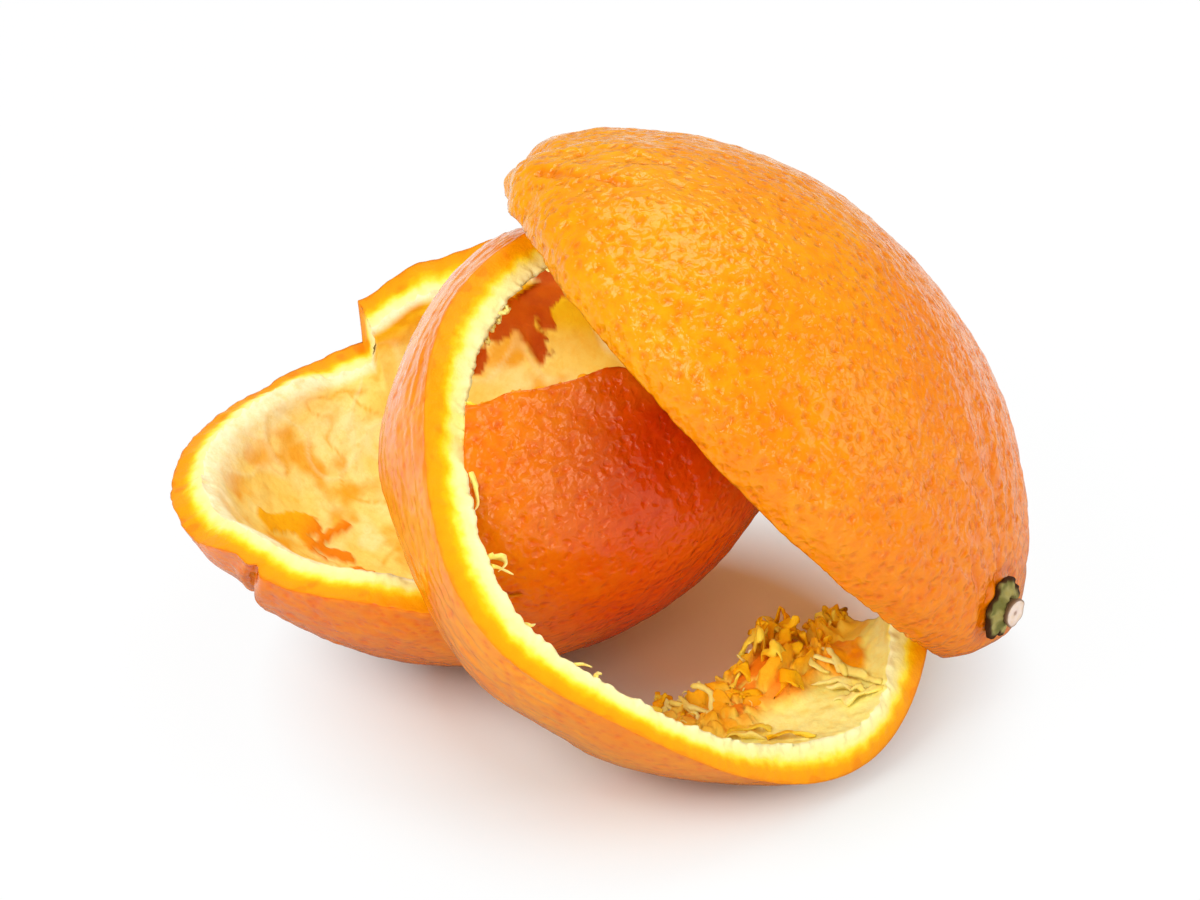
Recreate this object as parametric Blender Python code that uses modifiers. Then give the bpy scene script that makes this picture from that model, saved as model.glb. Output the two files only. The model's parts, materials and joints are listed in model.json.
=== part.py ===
"""The peel of one orange, pulled open and lying on its skin.

Three pieces of rind lean on each other: a bowl with one tall torn wall, a ring-shaped strip, and a
dome that still carries the green calyx and the stub of its stem. Lengths are millimetres, which
remap() turns into metres, and angles are degrees. The floor is z = 0, x points right and y away from
the viewer. Places are measured from the bowl's middle, and main() then moves the whole peel so that
the middle of its footprint is the origin.
"""

import math

import bmesh
import bpy
from mathutils import Vector

MM = 0.001
FLOOR = 0.0
GAP = 0.3

# Bowl: the lower half of the orange, its skin on an ellipsoid that dips just under the floor.
BOWL_CENTRE = Vector((-0.5, 0.4, 36.5))
BOWL_RADII = (40.3, 36.8, 36.8)
BOWL_THICKNESS = 5.5
BOWL_COLUMNS = 48
BOWL_ROWS = 17
# Height of the torn edge by compass angle, in degrees from x: level places and turns only. Where
# two angles lie close, the edge drops at once.
BOWL_RIM = (
    (-180, 20.4), (-155, 21.0), (-138, 23.6), (-122, 22.0), (-106, 22.8), (-96, 22.2), (-87.2, 23.0),
    (-87.1, 47.4), (-76, 48.8), (-58, 49.4), (-44, 47.0), (-22, 26.0), (0, 22.0), (45, 21.0),
    (58, 24.0), (72, 32.0), (84, 34.6), (100, 31.4), (113.1, 27.6), (113.4, 22.4), (124, 21.4),
    (142, 20.4), (180, 20.4),
)
BOWL_RIM_STEP = 4.0
# On the near left the edge climbs towards the inside of the rind, by this much over its thickness.
RIM_CLIMB = 2.0
RIM_CLIMB_SPAN = (-175, -140, -120, -102)
# The uncut bowl reaches this height, and the cutter goes on above it.
BOWL_UNCUT = 53.0
# The tall wall leans in, between these heights and angles.
WALL_SPAN = (-104, -88, -50, -20)
WALL_LEAN = 4.5
WALL_LEAN_HEIGHTS = (24.0, 49.0)
# The crack that runs under the tall wall from its free edge.
CRACK_HEIGHT = 24.8
CRACK_MOUTH = 1.3
CRACK_TIP_X = 7.5
# The dent low on the near side.
DENT_ANGLE = -136
DENT_HEIGHT = 17.0
DENT_RADIUS = 4.5
DENT_DEPTH = 0.9

# Ring strip: a band swept round an axis that looks up towards the viewer.
RING_CENTRE = Vector((27.5, -19.6, 30.1))
RING_AXIS_ANGLES = (-41.5, 46.0)
RING_ANGLES = (-16.0, -235.0)
RING_RADIUS = (32.7, 36.7, 35.1, 35.2, 38.1, 36.4, 36.2, 35.6)
RING_OFFSET = (1.1, -2.2, 2.4, -0.2, -0.4, 0.9)
RING_TWIST = (-7, 44, 30, 17, 19, 21, 7, 1, -17)
RING_WIDTH = (18.4, 20.3, 15.7, 14.6, 14.6)
RING_THICKNESS = (5.0, 5.0, 3.4, 4.6, 4.6, 3.8)
RING_CROWN_RADIUS = 36.0
RING_COLUMNS = 54
RING_ROWS = 7

# Dome: the upper half of the orange, lying on its side over the bowl and the ring.
DOME_CENTRE = Vector((32.0, -1.2, 29.1))
DOME_STEM_AXIS = Vector((0.67, 0.078, -0.738))
DOME_SIDE_AXIS = Vector((0.19, -0.979, 0.068))
DOME_STEM_RADIUS = 42.3
DOME_BLOSSOM_RADIUS = 41.0
DOME_SIDE_RADIUS = 38.0
DOME_HEIGHT = 24.3
DOME_FLATTENING = 0.31
DOME_EQUATOR = 4.5
DOME_SKIRT = 15.0
DOME_THICKNESS = 5.0
DOME_COLUMNS = 50
DOME_ROWS = 16

# Calyx and stem stub: on the dome, this far from its top and round it from its stem axis.
STEM_PLACE = (74, 47)
CALYX_RADIUS = 4.0
CALYX_THICKNESS = 1.2
CALYX_LOBES = 5
CALYX_LOBE_SHARE = 0.14
STUB_RADIUS = 1.7
STUB_FOOT = 0.8
STUB_LENGTH = 1.6
STUB_LEAN = 15


def smooth(t):
    t = min(max(t, 0.0), 1.0)
    return t * t * (3 - 2 * t)


def by_key(stations, key):
    """The value at key, eased between the two stations round it."""
    for (start, low), (end, high) in zip(stations, stations[1:]):
        if key <= end:
            return low + (high - low) * smooth((key - start) / (end - start))
    return stations[-1][1]


def along(values, t):
    """A smooth curve through values spread evenly over t = 0 to 1."""
    place = min(max(t, 0.0), 1.0) * (len(values) - 1)
    i = min(int(place), len(values) - 2)
    f = place - i
    before = values[i - 1] if i else 2 * values[0] - values[1]
    after = values[i + 2] if i + 2 < len(values) else 2 * values[-1] - values[-2]
    low, high = values[i], values[i + 1]
    slope, next_slope = (high - before) / 2, (after - low) / 2
    rise = high - low
    return (
        low
        + slope * f
        + (3 * rise - 2 * slope - next_slope) * f**2
        + (slope + next_slope - 2 * rise) * f**3
    )


def clear_scene():
    for found in list(bpy.data.objects):
        bpy.data.objects.remove(found, do_unlink=True)


def material(name, colour, roughness):
    made = bpy.data.materials.new(name)
    made.use_nodes = True
    shader = made.node_tree.nodes["Principled BSDF"]
    shader.inputs["Base Color"].default_value = (*colour, 1.0)
    shader.inputs["Roughness"].default_value = roughness
    return made


def on_floor(point):
    """The point, lifted to the floor where the skin would dip under it."""
    return Vector((point.x, point.y, max(point.z, FLOOR)))


def remap(found, place):
    """Moves each vertex of the object to place(vertex), given in millimetres."""
    for vertex in found.data.vertices:
        vertex.co = place(vertex.co) * MM


def solidify(found, thickness):
    shell = found.modifiers.new("Rind", "SOLIDIFY")
    shell.thickness = thickness * MM
    shell.offset = -1.0
    return shell


def cap(name, columns, rows, place):
    """An open shell: place(t, column) gives the skin from its pole, t = 0, to its edge, t = 1."""
    bpy.ops.mesh.primitive_uv_sphere_add(segments=columns, ring_count=2 * rows)
    found = bpy.context.object
    found.name = name
    mesh = bmesh.new()
    mesh.from_mesh(found.data)
    upper = [v for v in mesh.verts if v.co.z > 1e-4]
    bmesh.ops.delete(mesh, geom=upper, context="VERTS")
    mesh.to_mesh(found.data)
    mesh.free()

    def moved(unit):
        t = math.acos(min(max(-unit.z, -1.0), 1.0)) / (math.pi / 2)
        turn = math.atan2(unit.y, unit.x) % (2 * math.pi)
        return place(min(t, 1.0), round(turn / (2 * math.pi) * columns) % columns)

    remap(found, moved)
    return found


def bowl_skin(angle, t):
    """A point of the uncut bowl's skin, t = 0 at the bottom and 1 at its top."""
    polar = t * math.acos((BOWL_CENTRE.z - BOWL_UNCUT) / BOWL_RADII[2])
    turn = math.radians(angle)
    height = BOWL_CENTRE.z - BOWL_RADII[2] * math.cos(polar)
    low, high = WALL_LEAN_HEIGHTS
    start, full, fade, end = WALL_SPAN
    lean = WALL_LEAN * smooth((height - low) / (high - low))
    lean *= smooth((angle - start) / (full - start)) * smooth((end - angle) / (end - fade))
    point = Vector((
        BOWL_CENTRE.x + (BOWL_RADII[0] * math.sin(polar) - lean) * math.cos(turn),
        BOWL_CENTRE.y + (BOWL_RADII[1] * math.sin(polar) - lean) * math.sin(turn),
        height,
    ))
    return on_floor(point)


def dented(point):
    turn = math.radians(DENT_ANGLE)
    drop = (DENT_HEIGHT - BOWL_CENTRE.z) / BOWL_RADII[2]
    reach = math.sqrt(1 - drop**2)
    centre = Vector((
        BOWL_CENTRE.x + BOWL_RADII[0] * reach * math.cos(turn),
        BOWL_CENTRE.y + BOWL_RADII[1] * reach * math.sin(turn),
        DENT_HEIGHT,
    ))
    away = (point - centre).length / DENT_RADIUS
    inwards = (Vector((BOWL_CENTRE.x, BOWL_CENTRE.y, DENT_HEIGHT)) - centre).normalized()
    return point + inwards * DENT_DEPTH * math.exp(-away * away)


def bowl():
    def place(t, column):
        return dented(bowl_skin(column * 360.0 / BOWL_COLUMNS - 180.0, t))

    found = cap("bowl", BOWL_COLUMNS, BOWL_ROWS, place)
    solidify(found, BOWL_THICKNESS)
    for cutter in (tear_cutter(), crack_cutter()):
        cut = found.modifiers.new(cutter.name, "BOOLEAN")
        cut.object = cutter
        cut.solver = "EXACT"
    return found


def helper(found):
    found.hide_render = True
    found.display_type = "WIRE"
    return found


def rim_angles():
    """The stations of the torn edge, with even steps between those that lie far apart."""
    angles = []
    for (start, _), (end, _) in zip(BOWL_RIM, BOWL_RIM[1:]):
        count = max(1, math.ceil((end - start) / BOWL_RIM_STEP))
        angles += [start + (end - start) * i / count for i in range(count)]
    return angles


def tear_cutter():
    """A ring over the bowl with its underside along the torn edge: what it covers is torn away."""
    angles = rim_angles()
    bpy.ops.mesh.primitive_torus_add(
        major_segments=len(angles), minor_segments=4, major_radius=1.0, minor_radius=0.5
    )
    found = bpy.context.object
    found.name = "tear_cutter"
    inside, outside, top = 20.0, 46.0, 75.0

    def place(unit):
        reach = math.hypot(unit.x, unit.y)
        share = (math.atan2(unit.y, unit.x) / (2 * math.pi)) % 1.0
        angle = angles[round(share * len(angles)) % len(angles)]
        turn = math.radians(angle)
        rim = by_key(BOWL_RIM, angle)
        skin = BOWL_RADII[0] * math.sqrt(1 - ((rim - BOWL_CENTRE.z) / BOWL_RADII[2]) ** 2)
        start, full, fade, end = RIM_CLIMB_SPAN
        climb = RIM_CLIMB * smooth((angle - start) / (full - start)) / BOWL_THICKNESS
        climb *= smooth((end - angle) / (end - fade))
        radius, height = (inside, top)
        if unit.z > 0.25:
            radius = outside
        elif unit.z < -0.25 or reach > 1.25:
            radius, height = (outside, rim) if reach > 1.25 else (inside, rim)
        height = min(height, top)
        if height < top:
            height += climb * (skin - radius)
        return Vector((
            BOWL_CENTRE.x + radius * math.cos(turn),
            BOWL_CENTRE.y + radius * math.sin(turn),
            height,
        ))

    remap(found, place)
    return helper(found)


def crack_cutter():
    """A thin wedge, widest at the wall's free edge, that reaches through the rind."""
    bpy.ops.mesh.primitive_cube_add(size=2)
    found = bpy.context.object
    found.name = "crack_cutter"
    near, far = -45.0, -22.0

    def wedge(corner):
        opening = CRACK_MOUTH / 2 if corner.x < 0 else 0.1
        x = -4.0 if corner.x < 0 else CRACK_TIP_X
        y = near if corner.y < 0 else far
        return Vector((x, y, CRACK_HEIGHT + opening * corner.z))

    remap(found, wedge)
    return helper(found)


def ring_axes():
    compass, tilt = (math.radians(a) for a in RING_AXIS_ANGLES)
    axis = Vector((
        math.cos(tilt) * math.cos(compass), math.cos(tilt) * math.sin(compass), math.sin(tilt),
    ))
    first = Vector((1, 0, 0)) - axis * axis.x
    first.normalize()
    return axis, first, axis.cross(first)


def ring_edge(t):
    """The near edge of the strip's skin, and the direction away from the ring's axis."""
    axis, first, second = ring_axes()
    start, end = RING_ANGLES
    turn = math.radians(start + (end - start) * t)
    outwards = first * math.cos(turn) + second * math.sin(turn)
    return RING_CENTRE + outwards * along(RING_RADIUS, t) + axis * along(RING_OFFSET, t), outwards


def ring_skin(t, across):
    """A point of the strip's skin: t along it, and across = 0 at its near edge, 1 at its far one."""
    edge, outwards = ring_edge(t)
    step = 0.004
    forward = (ring_edge(t + step)[0] - ring_edge(t - step)[0]).normalized()
    outwards = (outwards - forward * outwards.dot(forward)).normalized()
    sideways = outwards.cross(forward)
    sideways *= math.copysign(1, sideways.dot(ring_axes()[0]))
    twist = math.radians(along(RING_TWIST, t))
    width = along(RING_WIDTH, t)
    inwards = -sideways * math.cos(twist) - outwards * math.sin(twist)
    normal = outwards * math.cos(twist) - sideways * math.sin(twist)
    crown = width**2 / (8 * RING_CROWN_RADIUS)
    return on_floor(edge + inwards * width * across + normal * 4 * crown * across * (1 - across))


def strip():
    bpy.ops.mesh.primitive_grid_add(x_subdivisions=RING_COLUMNS, y_subdivisions=RING_ROWS, size=2)
    found = bpy.context.object
    found.name = "strip"
    thickest = max(RING_THICKNESS)
    group = found.vertex_groups.new(name="Thickness")
    for vertex in found.data.vertices:
        share = along(RING_THICKNESS, (vertex.co.x + 1) / 2) / thickest
        group.add([vertex.index], share, "REPLACE")
    remap(found, lambda unit: ring_skin((unit.x + 1) / 2, (unit.y + 1) / 2))
    shell = solidify(found, thickest)
    shell.vertex_group = group.name
    return found


def dome_axes():
    stem = DOME_STEM_AXIS.normalized()
    side = (DOME_SIDE_AXIS - stem * DOME_SIDE_AXIS.dot(stem)).normalized()
    return stem, side, side.cross(stem)


def dome_point(theta, psi):
    """A point of the dome's skin, theta from its top and psi round it from the stem's side."""
    stem, side, top = dome_axes()
    ring = math.sin(theta)
    if theta < math.pi / 2:
        up = DOME_HEIGHT * math.cos(theta) * (1 - DOME_FLATTENING * ring**3)
    else:
        up = DOME_SKIRT * math.cos(theta)
    length = DOME_STEM_RADIUS if math.cos(psi) > 0 else DOME_BLOSSOM_RADIUS
    return (
        DOME_CENTRE
        + top * (DOME_EQUATOR + up)
        + stem * length * ring * math.cos(psi)
        + side * DOME_SIDE_RADIUS * ring * math.sin(psi)
    )


def dome():
    edge = math.pi / 2 + math.asin(DOME_EQUATOR / DOME_SKIRT)

    def place(t, column):
        return on_floor(dome_point(t * edge, 2 * math.pi * column / DOME_COLUMNS))

    found = cap("dome", DOME_COLUMNS, DOME_ROWS, place)
    solidify(found, DOME_THICKNESS)
    return found


def stem_axes():
    """The skin's point under the stem, and two axes in the skin before the one out of it."""
    theta, psi = (math.radians(a) for a in STEM_PLACE)
    point = dome_point(theta, psi)
    step = 0.001
    down = dome_point(theta + step, psi) - point
    out = down.cross(dome_point(theta, psi + step) - point).normalized()
    out *= math.copysign(1, out.dot(point - DOME_CENTRE))
    across = Vector((0, 0, 1)).cross(out).normalized()
    return point, across, out.cross(across), out


def stub_solid(name, radius, foot, length):
    """A short leaning cylinder on the stem's place, from foot up."""
    point, across, along_skin, out = stem_axes()
    lean = math.radians(STUB_LEAN)
    out = (out * math.cos(lean) + Vector((0, -1, 0)) * math.sin(lean)).normalized()
    across = along_skin.cross(out).normalized()
    along_skin = out.cross(across)
    bpy.ops.mesh.primitive_cylinder_add(vertices=20, radius=1, depth=1)
    found = bpy.context.object
    found.name = name

    def place(unit):
        around = across * unit.x + along_skin * unit.y
        return point + around * radius + out * (foot + length * (unit.z + 0.5))

    remap(found, place)
    return found


def calyx():
    point, across, along_skin, out = stem_axes()
    bpy.ops.mesh.primitive_uv_sphere_add(segments=30, ring_count=6)
    found = bpy.context.object
    found.name = "calyx"

    def place(unit):
        lobe = 1 + CALYX_LOBE_SHARE * math.cos(CALYX_LOBES * math.atan2(unit.y, unit.x))
        around = (across * unit.x + along_skin * unit.y) * CALYX_RADIUS * lobe
        return point + around + out * (GAP + CALYX_THICKNESS * max(unit.z, 0.0))

    remap(found, place)
    cut = found.modifiers.new("Stem_hole", "BOOLEAN")
    cut.object = helper(stub_solid("stem_hole_cutter", STUB_RADIUS + GAP, -3.0, 9.0))
    cut.solver = "EXACT"
    return found


def stem_stub():
    return stub_solid("stem_stub", STUB_RADIUS, STUB_FOOT, STUB_LENGTH)


def move_to(collection_name, found_list):
    collection = bpy.data.collections.new(collection_name)
    bpy.context.scene.collection.children.link(collection)
    for found in found_list:
        for old in list(found.users_collection):
            old.objects.unlink(found)
        collection.objects.link(found)


def footprint_middle(parts):
    """The middle of the parts' box in x and y, after their modifiers."""
    graph = bpy.context.evaluated_depsgraph_get()
    corners = [Vector(c) for found in parts for c in found.evaluated_get(graph).bound_box]
    return [(min(c[i] for c in corners) + max(c[i] for c in corners)) / 2 for i in (0, 1)]


def main():
    clear_scene()
    peel = material("orange_rind", (0.90, 0.33, 0.02), 0.4)
    green = material("calyx_green", (0.12, 0.13, 0.04), 0.7)
    scar = material("stem_wood", (0.62, 0.46, 0.36), 0.8)
    parts = []
    for make, finish in (
        (bowl, peel), (strip, peel), (dome, peel), (calyx, green), (stem_stub, scar),
    ):
        found = make()
        found.data.materials.append(finish)
        parts.append(found)
    x, y = footprint_middle(parts)
    helpers = [found for found in bpy.data.objects if found.hide_render]
    for found in parts + helpers:
        found.location = (-x, -y, 0.0)
    move_to("orange_peel", parts)
    move_to("helpers", helpers)


main()
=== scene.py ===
"""Looks of the orange peel: skin with pores, cut rind with oil glands, torn pith and bits of pulp.

Lengths are millimetres with the bowl's middle as origin in x and y, as in the solids, until
new_mesh() moves a mesh into the row frame, in metres.
"""

import json
import math

import bpy
import numpy as np
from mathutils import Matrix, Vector

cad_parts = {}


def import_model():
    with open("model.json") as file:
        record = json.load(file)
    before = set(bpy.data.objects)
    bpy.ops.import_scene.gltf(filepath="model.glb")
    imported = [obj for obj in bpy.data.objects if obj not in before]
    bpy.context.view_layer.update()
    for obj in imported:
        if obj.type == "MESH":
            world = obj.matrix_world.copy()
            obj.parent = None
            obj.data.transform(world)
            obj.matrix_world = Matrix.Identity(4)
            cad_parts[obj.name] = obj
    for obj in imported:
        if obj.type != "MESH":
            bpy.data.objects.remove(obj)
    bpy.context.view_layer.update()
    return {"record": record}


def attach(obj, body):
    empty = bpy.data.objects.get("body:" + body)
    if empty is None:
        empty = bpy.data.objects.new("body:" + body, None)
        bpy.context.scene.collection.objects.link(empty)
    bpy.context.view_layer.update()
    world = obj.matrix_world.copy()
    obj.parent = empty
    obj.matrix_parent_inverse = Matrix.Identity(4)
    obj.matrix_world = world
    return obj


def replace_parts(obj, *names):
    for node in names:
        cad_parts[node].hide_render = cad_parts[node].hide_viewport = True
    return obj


MM = 0.001
WHITE = (1.0, 1.0, 1.0)
# How far the rind and the bits stay above the floor.
RIND_CLEARANCE = 0.03
BIT_CLEARANCE = 0.2

# Bowl
BOWL_CENTRE = np.array([-0.5, 0.4, 36.5])
BOWL_RADII = (40.3, 36.8, 36.8)
BOWL_THICKNESS = 5.5
# Height of the torn edge by compass angle, in degrees from x.
BOWL_RIM = (
    (-180, 20.4), (-155, 21.0), (-138, 23.6), (-122, 22.0), (-106, 22.8), (-96, 22.2),
    (-88.5, 23.0), (-88.4, 47.4), (-76, 48.8), (-58, 49.4), (-44, 47.0), (-22, 26.0), (0, 22.0),
    (45, 21.0), (58, 24.0), (72, 33.4), (84, 34.8), (100, 31.4), (113.1, 27.6), (113.4, 22.4),
    (124, 21.4), (142, 20.4), (180, 20.4),
)
BOWL_UNCUT = 53.0
BOWL_GRID = (262, 262)
WALL_SPAN = (-104, -88, -50, -20)
WALL_LEAN = 4.5
WALL_LEAN_HEIGHTS = (24.0, 49.0)
CRACK_HEIGHT = 24.8
CRACK_MOUTH = 1.3
CRACK_TIP_X = 7.5
DENT = ((-130.5, 23.0), (-149, 11.5))  # from and to, in degrees and height
DENT_DEPTH = 1.0

# Ring strip
RING_CENTRE = np.array([27.5, -19.6, 30.1])
RING_AXIS_ANGLES = (-41.5, 46.0)
RING_ANGLES = (-16.0, -235.0)
RING_RADIUS = (32.7, 36.7, 35.1, 35.2, 38.1, 36.4, 36.2, 35.6)
RING_OFFSET = (1.1, -2.2, 2.4, -0.2, -0.4, 0.9)
RING_TWIST = (-7, 44, 30, 17, 19, 21, 7, 1, -17)
RING_WIDTH = (18.4, 20.3, 15.7, 14.6, 14.6)
RING_THICKNESS = (5.0, 5.0, 3.4, 4.8, 5.0, 4.2)
RING_CROWN_RADIUS = 36.0
RING_GRID = (470, 62)
# Its length, and its usual width on the skin and on the inside.
RING_LENGTH = 137.0
RING_SKIN_WIDTH = 16.0
RING_INSIDE_WIDTH = 15.0

# Dome
DOME_CENTRE = np.array([32.0, -1.2, 29.1])
DOME_STEM_AXIS = np.array([0.67, 0.078, -0.738])
DOME_SIDE_AXIS = np.array([0.19, -0.979, 0.068])
DOME_STEM_RADIUS = 42.3
DOME_BLOSSOM_RADIUS = 41.0
DOME_SIDE_RADIUS = 38.0
DOME_HEIGHT = 24.3
DOME_FLATTENING = 0.31
DOME_EQUATOR = 4.5
DOME_SKIRT = 15.0
DOME_THICKNESS = 5.0
DOME_GRID = (277, 277)
STEM_PLACE = (74, 47)  # degrees from the top and round from the stem's axis
CALYX_RADIUS = 4.0
STUB_LEAN = 15


# ---------------------------------------------------------------- numbers and noise


def smooth(t):
    t = np.clip(t, 0.0, 1.0)
    return t * t * (3 - 2 * t)


def window(x, start, full, fade, end):
    """0 outside start and end, 1 between full and fade, eased between."""
    return smooth((x - start) / (full - start)) * smooth((end - x) / (end - fade))


def hump(x, width):
    """1 where x is 0, and nearly 0 beyond twice the width."""
    return np.exp(-((x / width) ** 2))


def by_key(stations, key):
    """The values at the keys, eased between the two stations round each."""
    keys, values = np.array(stations, float).T
    i = np.clip(np.searchsorted(keys, key, side="left") - 1, 0, len(keys) - 2)
    share = smooth((key - keys[i]) / (keys[i + 1] - keys[i]))
    return values[i] + (values[i + 1] - values[i]) * share


def along(values, t):
    """A smooth curve through values spread evenly over t = 0 to 1."""
    v = np.array(values, float)
    v = np.concatenate([[2 * v[0] - v[1]], v, [2 * v[-1] - v[-2]]])
    place = np.clip(t, 0.0, 1.0) * (len(values) - 1)
    i = np.minimum(place.astype(int), len(values) - 2)
    f = place - i
    before, low, high, after = v[i], v[i + 1], v[i + 2], v[i + 3]
    slope, next_slope, rise = (high - before) / 2, (after - low) / 2, high - low
    return (
        low
        + slope * f
        + (3 * rise - 2 * slope - next_slope) * f**2
        + (slope + next_slope - 2 * rise) * f**3
    )


def scatter_hash(cell, seed):
    """A number from 0 to 1 for each whole-number cell (n, 3), the same each run."""
    c = cell.astype(np.int64) & 0xFFFFFFFF
    h = (c[..., 0] * 374761393 + c[..., 1] * 668265263 + c[..., 2] * 2246822519 + seed * 3266489917)
    h &= 0xFFFFFFFF
    h = ((h ^ (h >> 13)) * 1274126177) & 0xFFFFFFFF
    h = ((h ^ (h >> 16)) * 2654435761) & 0xFFFFFFFF
    return (h ^ (h >> 15)) / 4294967296.0


def swell(p, size, seed):
    """Smooth noise from -1 to 1 with bumps of about that size."""
    q = p / size
    low = np.floor(q)
    f = smooth(q - low)
    total = np.zeros(p.shape[:-1])
    for corner in np.ndindex(2, 2, 2):
        weight = np.prod(np.where(np.array(corner) == 1, f, 1 - f), axis=-1)
        total += weight * scatter_hash(low + np.array(corner), seed)
    return total * 2 - 1


def cloud(p, size, seed, octaves=3):
    """Noise from -1 to 1 with finer bumps on its big ones."""
    total, weight = 0.0, 0.0
    for k in range(octaves):
        total = total + swell(p, size / 2**k, seed + 17 * k) / 2**k
        weight += 1 / 2**k
    return total / weight


def patchy(p, size, seed, middle=0.5, gain=1.0):
    """Soft patches from 0 to 1."""
    return smooth(middle + gain * cloud(p, size, seed))


def cells(p, size, seed):
    """Distance in mm to the nearest and next scattered points, and the nearest one's number."""
    q = p / size
    base = np.floor(q)
    first = np.full(p.shape[:-1], 9.0)
    second = first.copy()
    number = np.zeros(p.shape[:-1])
    for offset in np.ndindex(3, 3, 3):
        cell = base + np.array(offset) - 1
        spot = np.stack([scatter_hash(cell, seed + k) for k in range(3)], -1)
        d = np.linalg.norm(cell + spot - q, axis=-1)
        nearer = d < first
        second = np.where(nearer, first, np.minimum(second, d))
        number = np.where(nearer, spot[..., 0], number)
        first = np.where(nearer, d, first)
    return first * size, second * size, number


def unit(v):
    return v / np.maximum(np.linalg.norm(v, axis=-1, keepdims=True), 1e-12)


def xyz(x, y, z):
    return np.stack(np.broadcast_arrays(x, y, z), -1)


def pointing(compass, height):
    """The unit direction at a compass angle from x and a height, both in degrees."""
    compass, height = math.radians(compass), math.radians(height)
    level = math.cos(height)
    return np.array([level * math.cos(compass), level * math.sin(compass), math.sin(height)])


def rgb(red, green, blue):
    """A colour given in 0 to 255 display values, as linear light."""
    c = np.array([red, green, blue]) / 255.0
    return np.where(c <= 0.04045, c / 12.92, ((c + 0.055) / 1.055) ** 2.4)


def mixed(a, b, share):
    share = np.asarray(share)[..., None]
    return a * (1 - share) + b * share


# ---------------------------------------------------------------- forms, as in the solids


def disc(a, b):
    """Square to disc: reach 0 to 1 and turn in radians, with cells of nearly even size."""
    wide = np.abs(a) > np.abs(b)
    reach = np.where(wide, a, b)
    safe = np.where(np.abs(reach) < 1e-9, 1e-9, reach)
    turn = np.where(wide, math.pi / 4 * b / safe, math.pi / 2 - math.pi / 4 * a / safe)
    x, y = reach * np.cos(turn), reach * np.sin(turn)
    return np.hypot(x, y), np.arctan2(y, x)


def bowl_reach(height):
    """How far out on the uncut bowl a height is: 0 at its bottom and 1 at its top."""
    cosine = (BOWL_CENTRE[2] - height) / BOWL_RADII[2]
    full = math.acos((BOWL_CENTRE[2] - BOWL_UNCUT) / BOWL_RADII[2])
    return np.arccos(np.clip(cosine, -1, 1)) / full


def bowl_place(reach, turn):
    """Skin of the uncut bowl: reach 0 at its bottom and 1 at its top, turn from x."""
    polar = reach * math.acos((BOWL_CENTRE[2] - BOWL_UNCUT) / BOWL_RADII[2])
    height = BOWL_CENTRE[2] - BOWL_RADII[2] * np.cos(polar)
    low, high = WALL_LEAN_HEIGHTS
    lean = WALL_LEAN * smooth((height - low) / (high - low))
    lean = lean * window(np.degrees(turn), *WALL_SPAN)
    x = BOWL_CENTRE[0] + (BOWL_RADII[0] * np.sin(polar) - lean) * np.cos(turn)
    y = BOWL_CENTRE[1] + (BOWL_RADII[1] * np.sin(polar) - lean) * np.sin(turn)
    return xyz(x, y, height)


def ring_axes():
    axis = pointing(*RING_AXIS_ANGLES)
    first = unit(np.array([1.0, 0, 0]) - axis * axis[0])
    return axis, first, np.cross(axis, first)


def ring_edge(t):
    axis, first, second = ring_axes()
    turn = np.radians(RING_ANGLES[0] + (RING_ANGLES[1] - RING_ANGLES[0]) * t)
    outwards = first * np.cos(turn)[..., None] + second * np.sin(turn)[..., None]
    edge = RING_CENTRE + outwards * along(RING_RADIUS, t)[..., None]
    return edge + axis * along(RING_OFFSET, t)[..., None], outwards


def ring_place(t, across):
    """Skin of the strip: t along it, across = 0 at its near edge and 1 at its far edge."""
    edge, outwards = ring_edge(t)
    step = 0.004
    forward = unit(ring_edge(t + step)[0] - ring_edge(t - step)[0])
    outwards = unit(outwards - forward * np.sum(outwards * forward, -1, keepdims=True))
    sideways = np.cross(outwards, forward)
    sideways = sideways * np.sign(sideways @ ring_axes()[0])[..., None]
    twist = np.radians(along(RING_TWIST, t))[..., None]
    width = along(RING_WIDTH, t)[..., None]
    inwards = -sideways * np.cos(twist) - outwards * np.sin(twist)
    normal = outwards * np.cos(twist) - sideways * np.sin(twist)
    crown = width**2 / (8 * RING_CROWN_RADIUS)
    f = np.asarray(across)[..., None]
    return edge + inwards * width * f + normal * 4 * crown * f * (1 - f)


def dome_axes():
    stem = unit(DOME_STEM_AXIS)
    side = unit(DOME_SIDE_AXIS - stem * (DOME_SIDE_AXIS @ stem))
    return stem, side, np.cross(side, stem)


def dome_place(reach, turn):
    """Skin of the dome: reach 0 at its top and 1 at its edge, turn from the stem's side."""
    stem, side, top = dome_axes()
    theta = reach * (math.pi / 2 + math.asin(DOME_EQUATOR / DOME_SKIRT))
    ring = np.sin(theta)
    up = np.where(
        theta < math.pi / 2,
        DOME_HEIGHT * np.cos(theta) * (1 - DOME_FLATTENING * ring**3),
        DOME_SKIRT * np.cos(theta),
    )
    length = np.where(np.cos(turn) > 0, DOME_STEM_RADIUS, DOME_BLOSSOM_RADIUS)
    return (
        DOME_CENTRE
        + top * (DOME_EQUATOR + up)[..., None]
        + stem * (length * ring * np.cos(turn))[..., None]
        + side * (DOME_SIDE_RADIUS * ring * np.sin(turn))[..., None]
    )


def dome_middle():
    """A point under the dome's skin that all of it faces away from."""
    return DOME_CENTRE - 4 * dome_axes()[2]


# ---------------------------------------------------------------- mesh making

ORIGIN = np.zeros(3)
PIECES = []


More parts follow.
